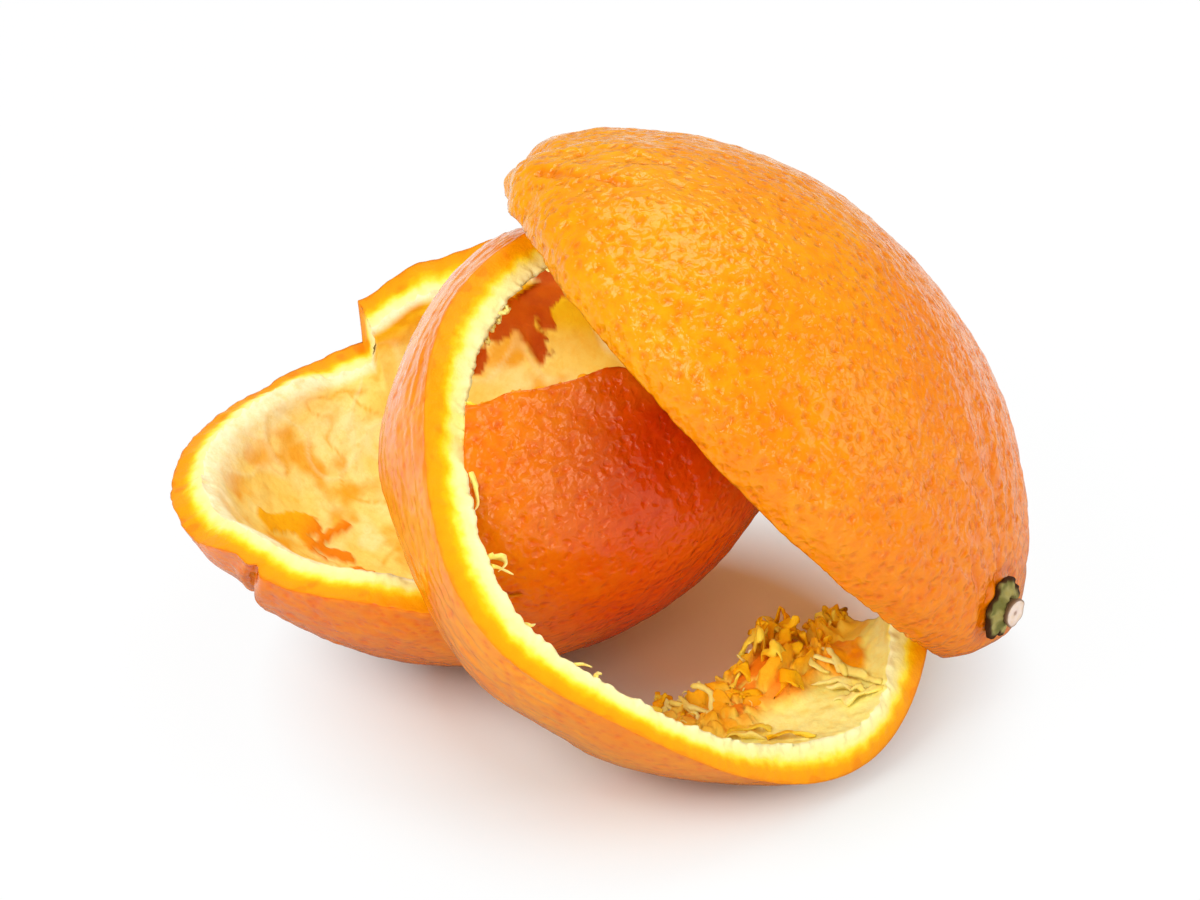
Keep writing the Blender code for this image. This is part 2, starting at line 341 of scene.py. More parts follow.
def new_mesh(name, points, faces, materials, tints, slots=None, values=None):
    """A smooth mesh that rides on the peel, with a colour and named numbers at each point."""
    mesh = bpy.data.meshes.new(name)
    mesh.from_pydata((points + ORIGIN) * MM, [], faces)
    if slots is not None:
        mesh.polygons.foreach_set("material_index", np.asarray(slots, np.int32))
    mesh.polygons.foreach_set("use_smooth", np.ones(len(faces), bool))
    layer = mesh.color_attributes.new("tint", "FLOAT_COLOR", "POINT")
    full = np.concatenate([tints, np.ones((len(points), 1))], 1).astype(np.float32)
    layer.data.foreach_set("color", full.ravel())
    for key, numbers in (values or {}).items():
        layer = mesh.attributes.new(key, "FLOAT", "POINT")
        layer.data.foreach_set("value", np.asarray(numbers, np.float32))
    for material in materials:
        mesh.materials.append(material)
    mesh.update()
    made = bpy.data.objects.new(name, mesh)
    bpy.context.scene.collection.objects.link(made)
    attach(made, "root")
    PIECES.append(made)
    return made


def grid_faces(count_u, count_v, keep):
    """The kept cells of a grid of points, as a list of four indices each."""
    index = np.arange(count_u * count_v).reshape(count_u, count_v)
    quads = np.stack([index[:-1, :-1], index[1:, :-1], index[1:, 1:], index[:-1, 1:]], -1)
    return quads[keep]


def rim_edges(quads):
    """The directed edges that only one cell has."""
    edges = np.concatenate([quads[:, [k, (k + 1) % 4]] for k in range(4)])
    low, high = edges.min(1).astype(np.int64), edges.max(1).astype(np.int64)
    key = low * (int(edges.max()) + 1) + high
    _, first, count = np.unique(key, return_index=True, return_counts=True)
    return edges[first[count == 1]]


def eased_rim(coords, edges, rounds):
    """Evens out the steps of a rim by moving its points towards their neighbours on it."""
    coords = coords.copy()
    rim = np.unique(edges)
    for _ in range(rounds):
        total = np.zeros_like(coords)
        count = np.zeros(len(coords))
        for a, b in ((0, 1), (1, 0)):
            np.add.at(total, edges[:, a], coords[edges[:, b]])
            np.add.at(count, edges[:, a], 1)
        mean = total[rim] / count[rim][:, None]
        coords[rim] = 0.5 * coords[rim] + 0.5 * mean
    return coords


def normals_of(place, a, b, outside):
    """Unit normals of a surface by small steps, turned to the side of the directions outside."""
    step = 1e-4
    du = place(a + step, b) - place(a - step, b)
    dv = place(a, b + step) - place(a, b - step)
    normal = unit(np.cross(du, dv))
    return normal * np.sign(np.sum(normal * outside, -1, keepdims=True))


def lining_cells(count_u, count_v, step):
    """Cells of step by step grid cells that keep each point of the grid's outer border."""
    steps = range(step)
    loops = []
    for i in range(0, count_u - 1, step):
        for j in range(0, count_v - 1, step):
            loop = [(i + k, j) for k in steps] + [(i + step, j + k) for k in steps]
            loop += [(i + step - k, j + step) for k in steps] + [(i, j + step - k) for k in steps]
            loops.append([
                u * count_v + v for u, v in loop
                if u % step + v % step == 0 or u in (0, count_u - 1) or v in (0, count_v - 1)
            ])
    return loops


def rim_direction(points, normal, edges, rim):
    """Unit directions out of the torn face at each rim point, in the skin's plane."""
    ahead = points[edges[:, 1]] - points[edges[:, 0]]
    out = np.cross(ahead, normal[edges[:, 0]])
    total = np.zeros_like(points)
    np.add.at(total, edges[:, 0], out)
    np.add.at(total, edges[:, 1], out)
    return unit(total[rim])


def rind(name, size, place, middle, forms, materials, rim_rounds=6, layers=12, lining_step=1):
    """One closed piece of rind on a grid of points.

    size is the grid's points each way, place(a, b) the smooth skin for a and b from -1 to 1, and
    middle a point that the skin faces away from. forms has relief(p, a, b), the skin's own shape
    and colour and how strong its small pores are, and lining(p, a, b), the rind's thickness and the
    inside's colour. It may have keep(a, b), which cells stay; snap(a, b), how much further out the
    rim's points belong; slant(p, a, b), how far skin and inside slide; and bands(a, b), how fast
    the cut's colours go by.
    """
    count_u, count_v = size
    a, b = np.meshgrid(np.linspace(-1, 1, count_u), np.linspace(-1, 1, count_v), indexing="ij")
    mid_a, mid_b = (a[:-1, :-1] + a[1:, 1:]) / 2, (b[:-1, :-1] + b[1:, 1:]) / 2
    kept = forms["keep"](mid_a, mid_b) if "keep" in forms else np.ones(mid_a.shape, bool)
    quads = grid_faces(count_u, count_v, kept)
    edges = rim_edges(quads)
    coords = eased_rim(np.stack([a.ravel(), b.ravel()], 1), edges, rim_rounds)
    if "snap" in forms:
        rim = np.unique(edges)
        coords[rim] *= forms["snap"](*coords[rim].T)[:, None]
    used = np.unique(quads)
    renumber = np.full(len(coords), -1)
    renumber[used] = np.arange(len(used))
    quads, edges, coords = renumber[quads], renumber[edges], coords[used]
    a, b = coords.T
    base = place(a, b)
    normal = normals_of(place, a, b, base - middle)
    lift, skin_tint, fine = forms["relief"](base, a, b)
    thickness, inner_tint = forms["lining"](base, a, b)
    skin = base + normal * lift[:, None]
    inner = base - normal * thickness[:, None]
    if "slant" in forms:
        skin_shift, inner_shift = forms["slant"](base, a, b)
        skin, inner = skin + skin_shift, inner + inner_shift
    turned = np.cross(skin[quads[0, 1]] - skin[quads[0, 0]], skin[quads[0, 3]] - skin[quads[0, 0]])
    flip = np.sum(turned * normal[quads[0, 0]]) < 0
    outer_quads = quads[:, ::-1] if flip else quads
    edges = edges[:, ::-1] if flip else edges
    count = len(skin)
    rim = np.unique(edges)
    chain = np.full(count, -1)
    chain[rim] = np.arange(len(rim))
    share = (np.arange(1, layers + 1) / layers)[None, :, None]
    rows = skin[rim][:, None] * (1 - share) + inner[rim][:, None] * share
    away = rim_direction(skin, normal, edges, rim)
    stand = torn(rows, np.broadcast_to(share[..., 0], rows.shape[:2]))
    rows = rows + away[:, None] * stand[..., None]
    inner[rim] = rows[:, -1]
    rows, share = rows[:, :-1], share[:, :-1]

    def level(k, points):
        """Vertex numbers of rim points at layer k, 0 on the skin and the last on the inside."""
        if k == 0:
            return points
        if k == layers:
            return points + count
        return 2 * count + chain[points] * (layers - 1) + k - 1

    if lining_step == 1:
        inner_faces = (outer_quads[:, ::-1] + count).tolist()
    else:
        loops = lining_cells(count_u, count_v, lining_step)
        inner_faces = [[v + count for v in (loop if flip else loop[::-1])] for loop in loops]
    faces = outer_quads.tolist() + inner_faces
    slots = [0] * len(quads) + [2] * len(inner_faces)
    start, end = edges.T
    for k in range(layers):
        faces += np.stack([
            level(k, end), level(k, start), level(k + 1, start), level(k + 1, end)
        ], 1).tolist()
        slots += [1] * len(edges)
    points = np.concatenate([skin, inner, rows.reshape(-1, 3)])
    points[:, 2] = np.maximum(points[:, 2], RIND_CLEARANCE)
    depth = np.concatenate([
        np.zeros(count), thickness, (thickness[rim][:, None] * share[..., 0]).ravel()
    ])
    pace = forms["bands"](a, b) if "bands" in forms else np.ones(count)
    depth *= np.concatenate([pace, pace, np.repeat(pace[rim], layers - 1)])
    tint = np.concatenate([skin_tint, inner_tint, np.repeat(inner_tint[rim], layers - 1, 0)])
    fine = np.concatenate([fine, np.ones(len(points) - count)])
    if lining_step > 1:
        used = np.zeros(len(points), bool)
        used[np.concatenate([np.array(face) for face in faces])] = True
        renumber = np.cumsum(used) - 1
        faces = [[int(renumber[v]) for v in face] for face in faces]
        points, depth, tint, fine = points[used], depth[used], tint[used], fine[used]
    return new_mesh(name, points, faces, materials, tint, slots, {"depth": depth, "fine": fine})


# ---------------------------------------------------------------- materials


class Nodes:
    """A material's or the world's nodes. Values are numbers, colours or other nodes' outputs."""

    def __init__(self, owner):
        owner.use_nodes = True
        self.tree = owner.node_tree
        self.shader = self.tree.nodes.get("Principled BSDF")

    def feed(self, socket, value):
        if isinstance(value, bpy.types.NodeSocket):
            self.tree.links.new(value, socket)
        elif socket.type == "RGBA":
            socket.default_value = (*value, 1.0)
        else:
            socket.default_value = value

    def add(self, kind, inputs=(), **settings):
        """A new node's outputs."""
        node = self.tree.nodes.new("ShaderNode" + kind)
        for key, value in settings.items():
            setattr(node, key, value)
        for socket, value in inputs:
            self.feed(node.inputs[socket], value)
        return node.outputs

    def maths(self, operation, a, b=0.0, clamp=False):
        return self.add("Math", [(0, a), (1, b)], operation=operation, use_clamp=clamp)[0]

    def plus(self, a, b):
        return self.maths("ADD", a, b)

    def times(self, a, b):
        return self.maths("MULTIPLY", a, b)

    def vector(self, operation, a, b):
        return self.add("VectorMath", [(0, a), (1, b)], operation=operation)

    def mix(self, share, a, b, blend="MIX"):
        return self.add("Mix", [(0, share), (6, a), (7, b)], data_type="RGBA", blend_type=blend)[2]

    def ramp(self, value, *stops):
        """A ramp through colours or shades of grey."""
        colour = self.add("ValToRGB", [("Fac", value)])["Color"]
        band = colour.node.color_ramp.elements
        while len(band) < len(stops):
            band.new(0.5)
        for element, (place, shade) in zip(band, stops):
            element.position = place
            element.color = (*np.broadcast_to(shade, 3), 1.0)
        return colour

    def read(self, name, output="Fac"):
        """The mesh's numbers or colours of that name."""
        return self.add("Attribute", attribute_name=name)[output]

    def noise(self, place, size, detail=2.0, roughness=0.5):
        return self.add("TexNoise", [
            ("Vector", place), ("Scale", 1.0 / size), ("Detail", detail), ("Roughness", roughness),
        ])["Fac"]

    def voronoi(self, place, size):
        return self.add("TexVoronoi", [("Vector", place), ("Scale", 1.0 / size)])["Distance"]

    def surface(self, colour, height, distance, strength=1.0):
        """The shader's colour, and its bump of that many mm."""
        self.feed(self.shader.inputs["Base Color"], colour)
        bump = self.add("Bump", [
            ("Height", height), ("Distance", distance * MM), ("Strength", strength),
        ])
        self.feed(self.shader.inputs["Normal"], bump["Normal"])


def new_material(name, sockets):
    """A material, its nodes and the point in mm, so that noise scales read as sizes."""
    made = bpy.data.materials.new(name)
    nodes = Nodes(made)
    for socket, value in sockets.items():
        nodes.feed(nodes.shader.inputs[socket], value)
    return made, nodes, nodes.vector("MULTIPLY", nodes.add("TexCoord")["Object"], (1000,) * 3)[0]


def skin_material():
    """Waxy orange skin: the mesh has its big pores, and the bump its small ones."""
    made, nodes, place = new_material("orange_skin", {
        "IOR": 1.45, "Specular Tint": (1.0, 0.82, 0.58),
    })
    warped = nodes.vector("ADD", place, nodes.noise(place, 1.6))[0]
    gland = nodes.voronoi(warped, 1.3)
    mottle = nodes.ramp(nodes.noise(place, 1.7, 3.0), (0.30, rgb(250, 222, 180)), (0.66, WHITE))
    # Pits a deeper orange: partly the oil glands' own colour, partly painted shade in the bump's
    # pits.
    spots = nodes.ramp(gland, (0.08, rgb(248, 208, 120)), (0.40, WHITE))
    colour = nodes.mix(0.8, nodes.read("tint", "Color"), mottle, "MULTIPLY")
    colour = nodes.mix(0.75, colour, spots, "MULTIPLY")
    rough = nodes.ramp(nodes.noise(place, 1.3), (0.3, 0.14), (0.7, 0.22))
    nodes.feed(nodes.shader.inputs["Roughness"], rough)
    pit = nodes.ramp(gland, (0.04, 0.0), (0.20, 0.35), (0.50, 1.0))
    worms = nodes.maths("ABSOLUTE", nodes.maths("SUBTRACT", nodes.noise(warped, 1.4, 1.0), 0.5))
    ripple = nodes.plus(nodes.times(nodes.noise(warped, 1.0, 1.0), 1.1), nodes.times(worms, -1.5))
    height = nodes.times(nodes.plus(nodes.times(pit, 1.1), ripple), nodes.read("fine"))
    nodes.surface(colour, height, 0.17)
    return made


# Depth in mm at which the cut's ramps end.
CUT_DEPTH = 6.0


def cut_material():
    """Cut rind: amber under the skin with oil glands, then gold, then pale pith."""
    made, nodes, place = new_material("cut_rind", {
        "Roughness": 0.5, "IOR": 1.33, "Specular Tint": (1.0, 0.8, 0.35),
    })
    depth = nodes.read("depth")
    share = nodes.times(depth, 1 / CUT_DEPTH)
    wobble = nodes.times(nodes.maths("SUBTRACT", nodes.noise(place, 1.8, 3.0), 0.5), 1.8)
    gland = nodes.voronoi(place, 3.0)
    some = nodes.ramp(nodes.noise(place, 4.0), (0.36, 0.0), (0.50, 1.0))
    some = nodes.times(some, nodes.ramp(share, (0.26, 1.0), (0.38, 0.0)))
    near = nodes.times(nodes.ramp(gland, (0.12, 1.0), (0.36, 0.0)), some)
    layer = nodes.plus(nodes.plus(depth, wobble), nodes.times(near, -1.5))
    colour = nodes.ramp(
        nodes.maths("MULTIPLY", layer, 1 / CUT_DEPTH, clamp=True),
        (0.00, rgb(240, 138, 4)), (0.06, rgb(244, 150, 0)), (0.25, rgb(247, 160, 0)),
        (0.35, rgb(251, 186, 0)), (0.45, rgb(253, 224, 60)), (0.57, rgb(253, 238, 146)),
        (1.00, rgb(253, 246, 198)),
    )
    spot = nodes.ramp(gland, (0.10, 1.0), (0.27, 0.0))
    band = nodes.ramp(share, (0.06, 0.0), (0.13, 1.0), (0.27, 1.0), (0.38, 0.0))
    amber = nodes.times(nodes.times(spot, band), nodes.times(some, 0.7))
    colour = nodes.mix(amber, colour, rgb(240, 140, 0))
    grain = nodes.plus(nodes.noise(place, 0.7, 4.0, 0.65), nodes.times(gland, -0.5))
    nodes.surface(colour, grain, 0.22, 0.6)
    return made


def grained_material(name, sockets, fleck, stop, share, grain, depth, strength=1.0):
    """Torn tissue in the mesh's tint, flecked and grained.

    fleck and grain are noises' size, detail and roughness, and stop is where the ramp of the
    flecks starts and in what colour.
    """
    made, nodes, place = new_material(name, {"Specular Tint": (1.0, 0.85, 0.5), **sockets})
    flecks = nodes.ramp(nodes.noise(place, *fleck), stop, (0.56, WHITE))
    colour = nodes.mix(share, nodes.read("tint", "Color"), flecks, "MULTIPLY")
    nodes.surface(colour, nodes.noise(place, *grain), depth, strength)
    return made


def pith_material():
    """The inside: pale spongy pith, stained by the mesh's tint."""
    sockets = {"Roughness": 0.6, "IOR": 1.30}
    return grained_material("pith", sockets, (1.4, 5.0, 0.7), (0.32, rgb(252, 228, 160)), 0.55,
                            (0.9, 5.0, 0.7), 0.22, 0.7)


def bit_material(name, roughness, grain, depth, through=0.0):
    """Torn bits: smooth and wet, or dry and fibrous."""
    sockets = {
        "Roughness": roughness, "IOR": 1.33, "Subsurface Weight": through,
        "Subsurface Radius": (1.0, 1.0, 0.7), "Subsurface Scale": 0.8 * MM,
    }
    return grained_material(name, sockets, (grain, 4.0, 0.6), (0.30, rgb(255, 238, 170)), 0.4,
                            (grain / 2, 3.0, 0.6), depth)


# ---------------------------------------------------------------- skin, lining and torn faces


def pores(p, pit_depth=0.26, pit_size=1.7):
    """Relief of orange skin in mm, and how deep in a pit each point is, 0 to 1."""
    wide, _, number = cells(p, pit_size, 11)
    small = cells(p, 0.62 * pit_size, 29)[0]
    pit = hump(wide, 0.30 * pit_size) * (0.45 + 0.75 * number)
    pit = pit + 0.35 * hump(small, 0.24 * pit_size)
    relief = 0.12 * swell(p, 4.5, 5) + 0.12 * swell(p, 1.6, 6) - pit_depth * pit
    return relief, np.clip(pit, 0, 1)


def torn(p, f):
    """How far a torn face stands out: rough, and with little teeth at its inner edge."""
    teeth = 0.8 * smooth((f - 0.6) / 0.4) * np.abs(swell(p, 0.9, 45))
    return 0.25 * cloud(p, 1.6, 41) * smooth(f / 0.25) + 0.25 * np.sin(np.pi * f) + teeth


def ragged(p, amount):
    """Uneven thickness where pith was torn."""
    return amount * (0.6 * swell(p, 2.4, 51) + 0.4 * swell(p, 0.9, 53))


def veins(p, size, width, seed):
    """1 on thin wandering lines, 0 away from them."""
    return smooth(1 - np.abs(cloud(p, size, seed, 2)) / width)


def pith_tint(p, pale, deep, stain_and_painted_light, stained):
    """Pith between two tones, with stains over that share of it."""
    base = mixed(pale, deep, patchy(p, 7.0, 61))
    share = smooth((cloud(p, 5.0, 67) + stain_and_painted_light - 0.5) * 2.4)
    return mixed(base, stained, share * 0.85)


def marks(place, table):
    """Thick lines from a table of from and to, in a surface's two coordinates, and half width."""
    return [(spot(place, *start), spot(place, *end), half) for start, end, half in table]


def spot(place, first, angle):
    """A surface's point at its first coordinate and an angle in degrees."""
    return place(np.array(first), np.array(math.radians(angle)))


def marks_reach(p, lines):
    """Distance in mm to the nearest of some thick lines, less the line's own half width."""
    nearest = np.full(p.shape[:-1], 99.0)
    for start, end, half_width in lines:
        run = end - start
        f = np.clip(((p - start) @ run) / (run @ run), 0, 1)
        away = np.linalg.norm(p - start - f[..., None] * run, axis=-1) - half_width
        nearest = np.minimum(nearest, away)
    return nearest


# ---------------------------------------------------------------- the three pieces of rind


def bowl_rim(turn):
    """Height of the torn edge, a little ragged."""
    height = by_key(BOWL_RIM, np.degrees(turn))
    return height + 0.35 * cloud(xyz(36 * np.cos(turn), 36 * np.sin(turn), 0), 3.0, 71)


def bowl_at(height, turn):
    """A point of the bowl's skin at a height."""
    return bowl_place(bowl_reach(height), turn)


def dent(p):
    """Depth of the pinch below the rim's near left: a fold with a hollow beside it."""
    start, end = (spot(bowl_at, height, angle) for angle, height in DENT)
    run = unit(end - start)
    share = (p - start) @ run / np.linalg.norm(end - start)
    aside = (p - start) @ np.cross(unit(start - BOWL_CENTRE), run) + 0.3 * swell(p, 2.5, 79)
    fold = 1.5 * hump(aside, 0.75) + DENT_DEPTH * hump(aside + 2.6, 2.2)
    fold = fold - 0.4 * hump(aside - 1.9, 1.1)
    off_line = np.linalg.norm(p - start - (share * 12)[..., None] * run, axis=-1)
    return np.exp(-((off_line / 7) ** 4)) * window(share, -0.15, 0.15, 0.8, 1.4) * fold


# Where the far wall lost its pith and shows pulp, darkened as painted shade of the dome; the marks
# up at the rim paint a shadow line there. Lines from and to height and degrees, and half width in
# mm.
STAR = (
    ((30.5, 74.5), (25.5, 80), 2.6), ((33.5, 73), (29, 75), 2.2), ((34, 70.5), (34, 78), 1.6),
    ((24.5, 78.5), (19.5, 74.5), 1.3), ((26, 80), (22.5, 86.5), 1.7), ((22.5, 86.5), (18, 90), 0.9),
    ((28, 76.5), (25, 75), 1.4),
)
# The star of pulp left in the bowl's near left, from and to reach and degrees.
PULP_STAR = (
    ((0.387, 183), (0.31, 169), 2.1), ((0.305, 181), (0.225, 180), 1.2),
    ((0.275, 174), (0.256, 157), 0.8), ((0.30, 184), (0.265, 188), 0.5),
    ((0.40, 180.5), (0.37, 180), 0.9), ((0.215, 187), (0.185, 193), 0.5),
    ((0.19, 188), (0.15, 200), 0.6),
)


def bowl_peel(materials):
    star = marks(bowl_at, STAR)
    pulp_star = marks(bowl_place, PULP_STAR)

    def place(a, b):
        return bowl_place(*disc(a, b))

    def by_rim(p, a, b):
        """Reach, compass angle in degrees and mm below the torn edge."""
        reach, turn = disc(a, b)
        angle = np.degrees(turn)
        return reach, angle, by_key(BOWL_RIM, angle) - p[..., 2]

    def keep(a, b):
        reach, turn = disc(a, b)
        p = bowl_place(reach, turn)
        crack = CRACK_MOUTH / 2 * np.clip((CRACK_TIP_X - p[..., 0]) / CRACK_TIP_X, 0, 1)
        in_crack = (np.abs(p[..., 2] - CRACK_HEIGHT) < crack) & (p[..., 0] > -4) & (p[..., 1] < 0)
        return (p[..., 2] < bowl_rim(turn)) & ~in_crack

    def snap(a, b):
        reach, turn = disc(a, b)
        edge = bowl_reach(bowl_rim(turn))
        return np.where(np.abs(edge - reach) < 0.012, edge / reach, 1.0)

    def relief(p, a, b):
        lift, pit = pores(p, 0.22)
        # Painted shade: the near wall's skin turns darker and redder towards its right, deepest
        # high up under the dome, where the dome's shadow falls.
        painted_dome_shade = smooth((p[..., 0] - 2 + 0.12 * (40 - p[..., 2])) / 21) * smooth(-p[..., 1] / 20)
        deep = mixed(rgb(228, 82, 0), rgb(186, 42, 0), smooth((p[..., 2] - 24) / 18))
        tint = mixed(rgb(230, 124, 0), deep, painted_dome_shade)
        tint = mixed(tint, rgb(240, 148, 20), 0.35 * patchy(p, 12.0, 73, 0, 2))
        on_wall = smooth((p[..., 0] + 6) / 12) * smooth((p[..., 2] - 8) / 14)
        # Pits a deeper orange: partly the oil glands' own colour, partly painted shade in the pits.
        return lift - dent(p), mixed(tint, rgb(226, 72, 0), 0.4 * pit), 0.25 + 0.45 * on_wall

    def slant(p, a, b):
        _, angle, below_rim = by_rim(p, a, b)
        drop = 2.6 * window(angle, 62, 84, 118, 140) * smooth(1 - below_rim / 8)
        return 0 * p, xyz(0, 0, -drop)

    def lining(p, a, b):
        reach, angle, below_rim = by_rim(p, a, b)
        missing = marks_reach(p, star) + 0.9 * swell(p, 1.6, 77) + 0.4 * swell(p, 0.7, 78)
        patch = smooth(0.5 - missing / 0.5)
        thin = 3.2 * window(angle, -90, -84, -52, -40) * smooth(1 - below_rim / 5)
        thin = thin + 1.1 * smooth(1 - below_rim / 3) ** 2
        thickness = BOWL_THICKNESS + 0.35 * cloud(p, 5.0, 75) + ragged(p, 0.16)
        floor = pith_tint(p, rgb(255, 232, 150), rgb(255, 218, 104), 0.5, rgb(246, 168, 4))
        wall = pith_tint(p, rgb(242, 192, 16), rgb(238, 172, 0), 0.44, rgb(230, 144, 0))
        high = smooth((p[..., 2] - 19) / 7) * window(angle, 20, 50, 118, 150)
        lines = veins(p, 11.0, 0.06, 81) * (1 - high)
        thickness = thickness + 0.12 * lines
        brown = 0.7 * veins(p, 8.0, 0.05, 84) * patchy(p, 9.0, 85, 0.6)
        tint = mixed(mixed(floor, wall, high), rgb(246, 170, 10), brown)
        tint = mixed(tint, rgb(255, 244, 190), 0.35 * lines)
        pale = smooth(1.2 - below_rim / (5.5 - 3.5 * window(angle, 20, 60, 118, 150)))
        tint = mixed(tint, rgb(255, 250, 206), 0.9 * pale)
        # Painted shade: where the pith is missing the pulp is a dark orange, as in the dome's
        # shadow, and the patch's reach up to the far rim paints a shadow line below it.
        orange = mixed(rgb(210, 94, 0), rgb(190, 72, 0), patchy(p, 3.0, 82))
        ragged_star = marks_reach(p, pulp_star) + 0.6 * swell(p, 1.1, 86) + 0.3 * swell(p, 0.5, 87)
        pulp = smooth(0.5 - ragged_star / 0.35)
        amber = mixed(rgb(252, 182, 0), rgb(246, 138, 0), smooth((0.335 - reach) / 0.05))
        tint = mixed(mixed(tint, orange, patch), amber, pulp)
        return thickness - thin - 0.8 * patch + 0.35 * pulp, tint

    forms = {"keep": keep, "snap": snap, "relief": relief, "lining": lining, "slant": slant}
    return rind("bowl_peel", BOWL_GRID, place, BOWL_CENTRE, forms, materials)


# Creases by the blossom's end and round the stem: from and to reach and degrees, half width in mm.
CREASES = (
    ((0.80, 181), (0.745, 177), 0.2), ((0.73, 176.5), (0.69, 174), -0.1),
    ((0.645, 170.5), (0.60, 167), 0.15), ((0.66, 50), (0.56, 53), 0.1),
    ((0.68, 58), (0.61, 64), 0.0),
)


def dome_peel(materials):
    stem = dome_axes()[0]
    creases = marks(dome_place, CREASES)
    stem_spot, stem_side, stem_other, _ = stem_axes()
    notch_spot = spot(dome_place, 0.825, -162.5)
    bulge_spot = spot(dome_place, 0.96, -165)

    def place(a, b):
        return dome_place(*disc(a, b))

    def relief(p, a, b):
        along_stem = (p - DOME_CENTRE) @ stem / DOME_STEM_RADIUS
        calm = smooth((along_stem - 0.45) / 0.35)
        lift, pit = pores(p)
        away = marks_reach(p, creases) + 0.3 * swell(p, 1.6, 88)
        crease = hump(np.maximum(away, 0), 0.5)
        from_stem = np.linalg.norm(p - stem_spot, axis=-1)
        collar = hump(from_stem - 4.4, 0.7)
        spoke = np.arctan2((p - stem_spot) @ stem_side, (p - stem_spot) @ stem_other)
        ridges = 0.2 * np.sin(21 * spoke + 2.5 * swell(p, 6.0, 90))
        ridges = ridges * window(from_stem, 4.5, 8, 20, 34)
        ridges = ridges * smooth((p - stem_spot) @ np.array([0.0, 0.4, 0.9]) / 6.0)
        blossom = smooth((-along_stem - 0.62) / 0.3)
        lumps = blossom * (0.7 * swell(p, 7.0, 87) + 0.35 * swell(p, 3.2, 89))
        lumps = lumps - 1.2 * hump(np.linalg.norm(p - notch_spot, axis=-1), 2.0)
        lumps = lumps + 0.8 * hump(np.linalg.norm(p - bulge_spot, axis=-1), 2.4)
        warm = smooth(0.76 + 0.62 * along_stem + 0.35 * cloud(p, 14.0, 83))
        tint = mixed(rgb(239, 164, 5), rgb(232, 128, 0), warm)
        # Pits a deeper orange: partly the oil glands' own colour, partly painted shade in the pits.
        tint = mixed(tint, rgb(230, 112, 0), 0.35 * pit)
        # Painted shade: the creases and the groove round the stem are darker orange.
        tint = mixed(tint, rgb(222, 98, 0), np.maximum(0.5 * crease, 0.6 * collar))
        lift = (1 - 0.45 * calm) * lift + lumps + ridges - 0.35 * collar
        lift = lift - 0.30 * crease + 0.08 * hump(away - 1.0, 0.6)
        return lift, tint, 1 - 0.5 * calm

    def lining(p, a, b):
        tint = pith_tint(p, rgb(255, 232, 150), rgb(255, 220, 104), 0.44, rgb(248, 176, 8))
        return DOME_THICKNESS + ragged(p, 0.3), tint

    def slant(p, a, b):
        reach, turn = disc(a, b)
        lift = 2.0 * smooth((reach - 0.74) / 0.16) * window(np.degrees(turn), -30, 0, 26, 48)
        shift = xyz(0, 0, lift)
        return shift, shift

    forms = {"relief": relief, "lining": lining, "slant": slant}
    return rind("dome_peel", DOME_GRID, place, dome_middle(), forms, materials, 0, 9, 3)


